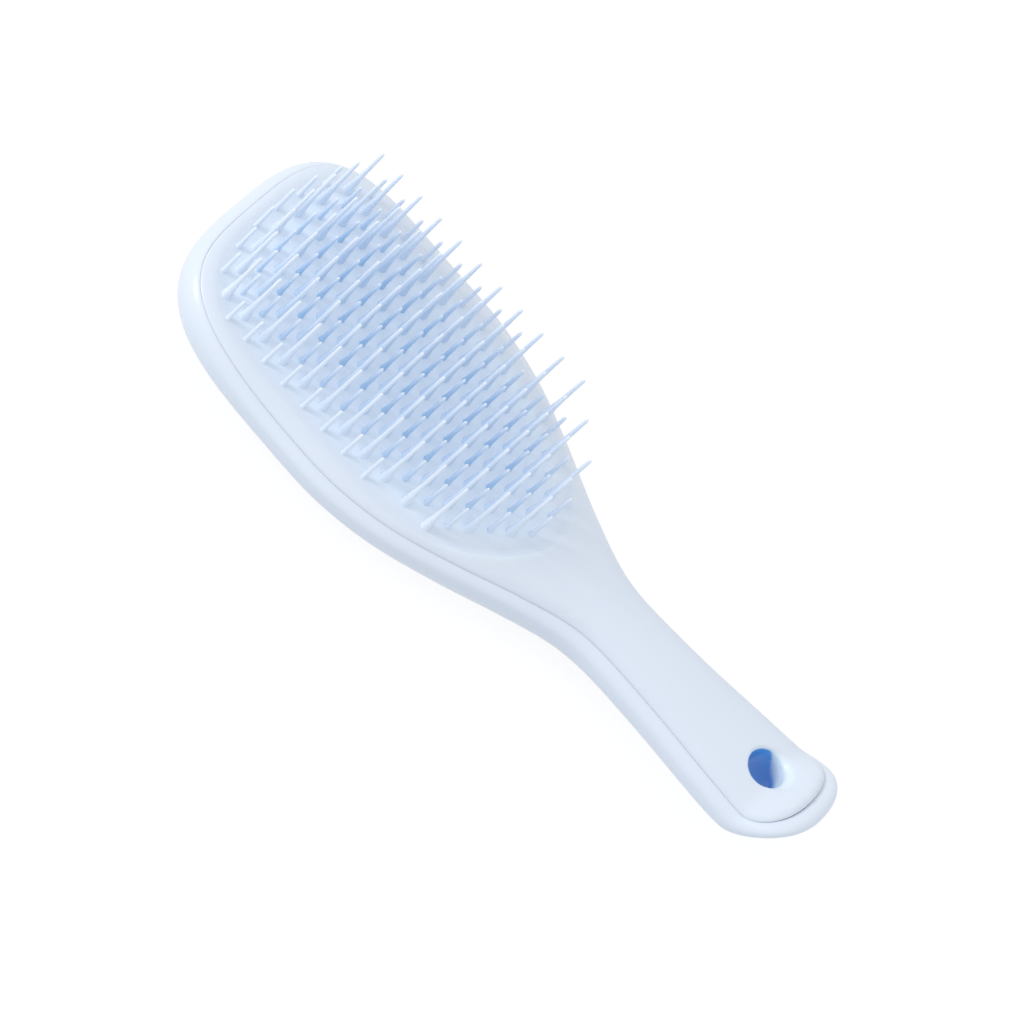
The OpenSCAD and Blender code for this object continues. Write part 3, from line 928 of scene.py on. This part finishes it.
# %% [markdown]
# One tooth repeated on many points is a job for Geometry Nodes. The tree takes a plain
# cylinder of unit size, and three curves read each row's height in it: they move the row up,
# set its radius and mark its painted shade. The tooth then stands on every point, stretched to
# the length that the point carries. It ends as a real mesh, because an export drops instances.


# %% Geometry Nodes tree that grows a tooth on every point
def add(tree, kind, settings=None, inputs=None):
    """Adds a node: settings are its own, and inputs are values or sockets to link."""
    node = tree.nodes.new(kind)
    for name, value in (settings or {}).items():
        setattr(node, name, value)
    for name, value in (inputs or {}).items():
        if isinstance(value, bpy.types.NodeSocket):
            tree.links.new(value, node.inputs[name])
        else:
            node.inputs[name].default_value = value
    return node


TREE_INPUTS = {
    "Geometry": "Geometry", "Root radius": "Float", "Sides": "Int", "Rows": "Int", "Material": "Material",
}
TIMES = {"operation": "MULTIPLY"}


def tooth_tree(name, profile):
    """The tree for one kind of tooth, and the identifiers of its inputs."""
    tree = bpy.data.node_groups.new(name, "GeometryNodeTree")
    ids = {}
    for label, kind in TREE_INPUTS.items():
        socket = tree.interface.new_socket(label, in_out="INPUT", socket_type="NodeSocket" + kind)
        ids[label] = socket.identifier
    tree.interface.new_socket("Geometry", in_out="OUTPUT", socket_type="NodeSocketGeometry")
    given = add(tree, "NodeGroupInput").outputs
    cone = add(tree, "GeometryNodeMeshCone", None, {
        "Vertices": given["Sides"], "Side Segments": given["Rows"],
        "Radius Top": 1, "Radius Bottom": 1, "Depth": 1,
    })
    spot = add(tree, "GeometryNodeInputPosition")
    split = add(tree, "ShaderNodeSeparateXYZ", None, {0: spot.outputs[0]}).outputs
    read = []
    for values in zip(*profile):
        curve = add(tree, "ShaderNodeFloatCurve", None, {"Value": split["Z"]})
        knots = curve.mapping.curves[0].points
        last = len(values) - 1
        knots[0].location = (0, values[0])
        knots[-1].location = (1, values[-1])
        for k in range(1, last):
            knots.new(k / last, values[k])
        for knot in knots:
            knot.handle_type = "VECTOR"
        curve.mapping.update()
        read.append(curve.outputs[0])
    height, radius, shade = read
    # The third curve stores each row's painted shade as the mark deep
    mark = add(tree, "GeometryNodeStoreNamedAttribute", {"data_type": "FLOAT", "domain": "POINT"}, {
        "Name": "deep", "Geometry": cone.outputs["Mesh"], "Value": shade,
    })
    wide = add(tree, "ShaderNodeMath", TIMES, {0: radius, 1: given["Root radius"]}).outputs[0]
    across = {axis: add(tree, "ShaderNodeMath", TIMES, {0: split[axis], 1: wide}).outputs[0] for axis in "XY"}
    join = add(tree, "ShaderNodeCombineXYZ", None, {**across, "Z": height})
    shape = add(tree, "GeometryNodeSetPosition", None, {
        "Geometry": mark.outputs[0], "Position": join.outputs[0],
    })
    reach = add(tree, "GeometryNodeInputNamedAttribute", {"data_type": "FLOAT"}, {"Name": "reach"})
    size = add(tree, "ShaderNodeCombineXYZ", None, {"X": 1, "Y": 1, "Z": reach.outputs["Attribute"]})
    stand = add(tree, "GeometryNodeInstanceOnPoints", None, {
        "Points": given["Geometry"], "Instance": shape.outputs[0], "Scale": size.outputs[0],
    })
    real = add(tree, "GeometryNodeRealizeInstances", None, {0: stand.outputs[0]})
    paint = add(tree, "GeometryNodeSetMaterial", None, {
        "Geometry": real.outputs[0], "Material": given["Material"],
    })
    add(tree, "NodeGroupOutput", None, {0: paint.outputs[0]})
    return tree, ids


print("the tree asks for", ", ".join(TREE_INPUTS))

# %% [markdown]
# The points carry each tooth's length, and the tree's inputs are set by their identifiers
# before the first evaluation. The result becomes a plain mesh. A tooth in the middle of the
# field gets its full painted shade and one at the rim almost none, so the marks are scaled last.

# %% Growing the teeth
TOOTH_SIDES, TOOTH_CORNER = 8, math.radians(75)


def grow(name, teeth, profile, root_r, material):
    """All teeth of one kind, as one mesh."""
    x, y, low, lengths, shades = zip(*teeth)
    points = bpy.data.meshes.new(name)
    points.from_pydata(place(zip(x, y, low)), [], [])
    reach = points.attributes.new("reach", "FLOAT", "POINT")
    reach.data.foreach_set("value", [length * MM for length in lengths])
    piece = bpy.data.objects.new(name, points)
    bpy.context.collection.objects.link(piece)
    tree, ids = tooth_tree(name, profile)
    grower = piece.modifiers.new("teeth", "NODES")
    grower.node_group = tree
    grower[ids["Root radius"]] = root_r * MM
    grower[ids["Sides"]] = TOOTH_SIDES
    grower[ids["Rows"]] = len(profile) - 1
    grower[ids["Material"]] = material
    view = bpy.context.evaluated_depsgraph_get()
    mesh = bpy.data.meshes.new_from_object(piece.evaluated_get(view))
    piece.modifiers.remove(grower)
    piece.data = mesh
    mesh.shade_smooth()
    mesh.set_sharp_from_angle(angle=TOOTH_CORNER)
    # Teeth near the window's rim keep little of their painted shade
    marks = mesh.attributes["deep"].data
    depth = np.zeros(len(marks), dtype=np.float32)
    marks.foreach_get("value", depth)
    scaled = depth.reshape(len(teeth), -1) * np.array(shades)[:, None]
    marks.foreach_set("value", scaled.ravel())
    return piece


# %% [markdown]
# One plastic is used for the whole brush. Its kind can't be told from its look, and
# polypropylene is a likely one: injection moulded in a polished tool, and slightly
# translucent. To the eye that is a soft gloss with a faint waviness, and a very pale lilac
# blue. The mark "deep" adds painted light and painted shade: 0 is the plain tint, PALE_SHARE
# the middle colour and 1 the deep one.

# %% Finishes
# The colour drifts over 40 mm, and the gloss waves over about a millimetre
DRIFT_SIZE, WAVE_SIZE = 40.0, 10 / 9
GLOSS_BELOW, GLOSS_ABOVE = 0.03, 0.05
WAVE_STRENGTH, WAVE_HEIGHT = 0.04, 0.2
PLASTIC_IOR = 1.5
# The colour sockets of a Mix node
MIX_A, MIX_B, MIX_OUT = 6, 7, 2


def srgb(text):
    """A hex colour as linear values."""
    parts = [int(text[i:i + 2], 16) / 255 for i in (1, 3, 5)]
    return tuple(v / 12.92 if v <= 0.04045 else ((v + 0.055) / 1.055) ** 2.4 for v in parts) + (1,)


def moulded(name, colour, shade, pale, deep, rough):
    """Moulded plastic: the colour drifts a little, and the gloss has the faint waves of a tool."""
    material = bpy.data.materials.new(name)
    material.use_nodes = True
    tree = material.node_tree
    tree.nodes.clear()
    where = add(tree, "ShaderNodeTexCoord").outputs["Object"]
    drift = add(tree, "ShaderNodeTexNoise", None, {
        "Vector": where, "Scale": 1 / (DRIFT_SIZE * MM), "Detail": 1.0,
    })
    waves = add(tree, "ShaderNodeTexNoise", None, {
        "Vector": where, "Scale": 1 / (WAVE_SIZE * MM), "Detail": 2.0,
    })
    gloss = add(tree, "ShaderNodeMapRange", None, {
        "Value": waves.outputs["Fac"], "To Min": rough - GLOSS_BELOW, "To Max": rough + GLOSS_ABOVE,
    })
    bump = add(tree, "ShaderNodeBump", None, {
        "Height": waves.outputs["Fac"], "Strength": WAVE_STRENGTH, "Distance": WAVE_HEIGHT * MM,
    })
    # The mark mixes in painted light and shade: up to PALE_SHARE towards the colour pale, above it towards
    # the colour deep
    mark = add(tree, "ShaderNodeAttribute", {"attribute_name": "deep"}).outputs["Fac"]
    to_pale = add(tree, "ShaderNodeMapRange", None, {"Value": mark, "From Max": PALE_SHARE})
    to_deep = add(tree, "ShaderNodeMapRange", None, {"Value": mark, "From Min": PALE_SHARE})
    tint = add(tree, "ShaderNodeMix", {"data_type": "RGBA"}, {
        "Factor": drift.outputs["Fac"], MIX_A: srgb(colour), MIX_B: srgb(shade),
    })
    lit = add(tree, "ShaderNodeMix", {"data_type": "RGBA"}, {
        "Factor": to_pale.outputs["Result"], MIX_A: tint.outputs[MIX_OUT], MIX_B: srgb(pale),
    })
    body = add(tree, "ShaderNodeMix", {"data_type": "RGBA"}, {
        "Factor": to_deep.outputs["Result"], MIX_A: lit.outputs[MIX_OUT], MIX_B: srgb(deep),
    })
    shader = add(tree, "ShaderNodeBsdfPrincipled", None, {
        "Base Color": body.outputs[MIX_OUT], "Roughness": gloss.outputs["Result"],
        "IOR": PLASTIC_IOR, "Normal": bump.outputs["Normal"],
    })
    add(tree, "ShaderNodeOutputMaterial", None, {"Surface": shader.outputs[0]})
    return material


# Back and face: pale is a painted light on the hole's lip and the window's rim, deep a painted shade down the
# hole
shell_finish = moulded("polished_plastic_back", "#dce5f1", "#e0e8f3", "#eefaff", "#55a6ec", 0.28)
panel_finish = moulded("polished_plastic_face", "#dbe4f0", "#dfe7f2", "#eefaff", "#55a6ec", 0.32)
# Field: pale and deep are both painted light, paler and bluer among the teeth
field_finish = moulded("polished_plastic_field", "#dbe4f0", "#dfe7f2", "#e7f3ff", "#e8f3ff", 0.32)
# Teeth: pale and deep are both painted shade, bluer among the others
teeth_finish = moulded("polished_plastic_teeth", "#e5effc", "#e9f2fd", "#cfe3fa", "#abd1f3", 0.22)
for piece, finish in ((shell, shell_finish), (panel, panel_finish), (plate, field_finish)):
    piece.data.materials.clear()
    piece.data.materials.append(finish)
    print(piece.name, "wears", finish.name)

# %% [markdown]
# A long tooth is a slim needle on a flared root. A short one is half as high and nearly as
# thick, keeps its width almost to the tip, and carries more painted shade, a bluer colour for
# the shade of the others round it. Each tooth has only about sixty faces, since there are so many.

# %% Teeth
# Rows from the root to the tip: share of the height, share of the root's radius, painted shade
LONG_PROFILE = (
    (0, 1, 0.3), (0.1, 0.84, 0.35), (0.2, 0.69, 0.35), (0.33, 0.53, 0.3), (0.5, 0.43, 0.2),
    (0.75, 0.37, 0.1), (0.965, 0.32, 0), (0.99, 0.22, 0), (1, 0.05, 0),
)
SHORT_PROFILE = (
    (0, 1, 0.9), (0.12, 0.82, 0.9), (0.25, 0.72, 0.8), (0.45, 0.66, 0.65),
    (0.75, 0.6, 0.35), (0.93, 0.55, 0.1), (0.98, 0.36, 0), (1, 0.05, 0),
)
LONG_ROOT_R, SHORT_ROOT_R = 1.2, 0.72
for name, teeth, profile, root_r in (
    ("teeth_long", long_teeth, LONG_PROFILE, LONG_ROOT_R),
    ("teeth_short", short_teeth, SHORT_PROFILE, SHORT_ROOT_R),
):
    piece = grow(name, teeth, profile, root_r, teeth_finish)
    report(piece)
    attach(piece, "root")
    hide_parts("tooth_plate")

# %% [markdown]
# The brush lies on a white table. A lit white surface would show as grey, so rays that look
# at the table, straight or by reflection, see mostly a plain glow. A part of its true
# surface is kept in the mix, and with it a faint shadow.

# %% Stage
TABLE_SIZE = 6
TABLE_SHARE, TABLE_GLOW = 0.8, 1.12
TABLE_COLOUR, WHITE = "#dadee3", "#ffffff"
LARGER = {"operation": "MAXIMUM"}


def background_rays(tree, share):
    """A factor for rays that look at the background straight or by reflection."""
    ray = add(tree, "ShaderNodeLightPath").outputs
    both = add(tree, "ShaderNodeMath", LARGER, {0: ray["Is Camera Ray"], 1: ray["Is Glossy Ray"]})
    more = add(tree, "ShaderNodeMath", LARGER, {0: both.outputs[0], 1: ray["Is Transmission Ray"]})
    return add(tree, "ShaderNodeMath", TIMES, {0: more.outputs[0], 1: share}).outputs[0]


bpy.ops.mesh.primitive_plane_add(size=TABLE_SIZE, location=(0, 0, 0))
floor = bpy.context.object
floor.name = "floor"
ground = bpy.data.materials.new("white_table")
ground.use_nodes = True
tree = ground.node_tree
tree.nodes.clear()
matt = add(tree, "ShaderNodeBsdfDiffuse", None, {"Color": srgb(TABLE_COLOUR)})
glow = add(tree, "ShaderNodeEmission", None, {"Color": srgb(WHITE), "Strength": TABLE_GLOW})
mixed = add(tree, "ShaderNodeMixShader", None, {
    "Fac": background_rays(tree, TABLE_SHARE), 1: matt.outputs[0], 2: glow.outputs[0],
})
add(tree, "ShaderNodeOutputMaterial", None, {"Surface": mixed.outputs[0]})
floor.data.materials.append(ground)
print("table", TABLE_SIZE, "m wide")

# %% [markdown]
# An even, slightly blue fill comes from all round, as in a light tent, and one broad lamp at
# the head's end models the dome and the teeth. The world uses the same trick as the table:
# the camera sees it plain white, while the brush is lit by the fill.

# %% Light
FILL_COLOUR, FILL_STRENGTH = "#fafcff", 0.89
KEY_PLACE, KEY_AIM = (-0.96, -0.45, 0.55), (0, 0, 0.02)
KEY_SIZE, KEY_POWER = 0.42, 4.2
scene = bpy.context.scene
scene.view_settings.view_transform = "Standard"
world = bpy.data.worlds.new("studio")
scene.world = world
world.use_nodes = True
tree = world.node_tree
tree.nodes.clear()
seen = add(tree, "ShaderNodeBackground", None, {"Color": srgb(WHITE), "Strength": 1.0})
fill = add(tree, "ShaderNodeBackground", None, {"Color": srgb(FILL_COLOUR), "Strength": FILL_STRENGTH})
mixed = add(tree, "ShaderNodeMixShader", None, {
    "Fac": background_rays(tree, 1), 1: fill.outputs[0], 2: seen.outputs[0],
})
add(tree, "ShaderNodeOutputWorld", None, {"Surface": mixed.outputs[0]})

key_data = bpy.data.lights.new("key", "AREA")
key_data.shape = "DISK"
key_data.size = KEY_SIZE
key_data.energy = KEY_POWER
key = bpy.data.objects.new("key", key_data)
bpy.context.collection.objects.link(key)
key.location = KEY_PLACE
towards = Vector(KEY_PLACE) - Vector(KEY_AIM)
key.rotation_euler = towards.to_track_quat("Z", "Y").to_euler()
print("key lamp", round(towards.length, 2), "m away")

# %% [markdown]
# The camera's tilt is chosen, and a perspective fit to the brush's outline gives the
# rest: more than a metre away, with a long lens, so perspective hardly shows. It is turned
# in three steps, each about one axis, and then moved back from its aim.

# %% Camera
CAM_TILT, CAM_TURN, CAM_ROLL = 38.0, 1.74, 46.69
CAM_AIM = (-2.2, -2.4, 17.2)
CAM_DISTANCE = 1195.8
CAM_SENSOR = 36.0
CAM_FOCAL_PX = 5906.5
CAM_REACH = 10
PICTURE_PX = 1024
turned = Matrix.Rotation(math.radians(-CAM_TURN), 4, "Y")
turned = turned @ Matrix.Rotation(math.radians(CAM_TILT), 4, "X")
turned = turned @ Matrix.Rotation(math.radians(CAM_ROLL), 4, "Z")
camera_data = bpy.data.cameras.new("portrait_camera")
camera_data.sensor_width = CAM_SENSOR
camera_data.lens = CAM_FOCAL_PX / PICTURE_PX * CAM_SENSOR
camera_data.clip_end = CAM_REACH
camera = bpy.data.objects.new("portrait_camera", camera_data)
bpy.context.collection.objects.link(camera)
look = turned.to_3x3() @ Vector((0, 0, CAM_DISTANCE * MM))
camera.matrix_world = Matrix.Translation(Vector(CAM_AIM) * MM + look) @ turned
bpy.context.scene.camera = camera
print(f"camera {camera_data.lens:.0f} mm, {CAM_DISTANCE / 1000:.2f} m from the brush")
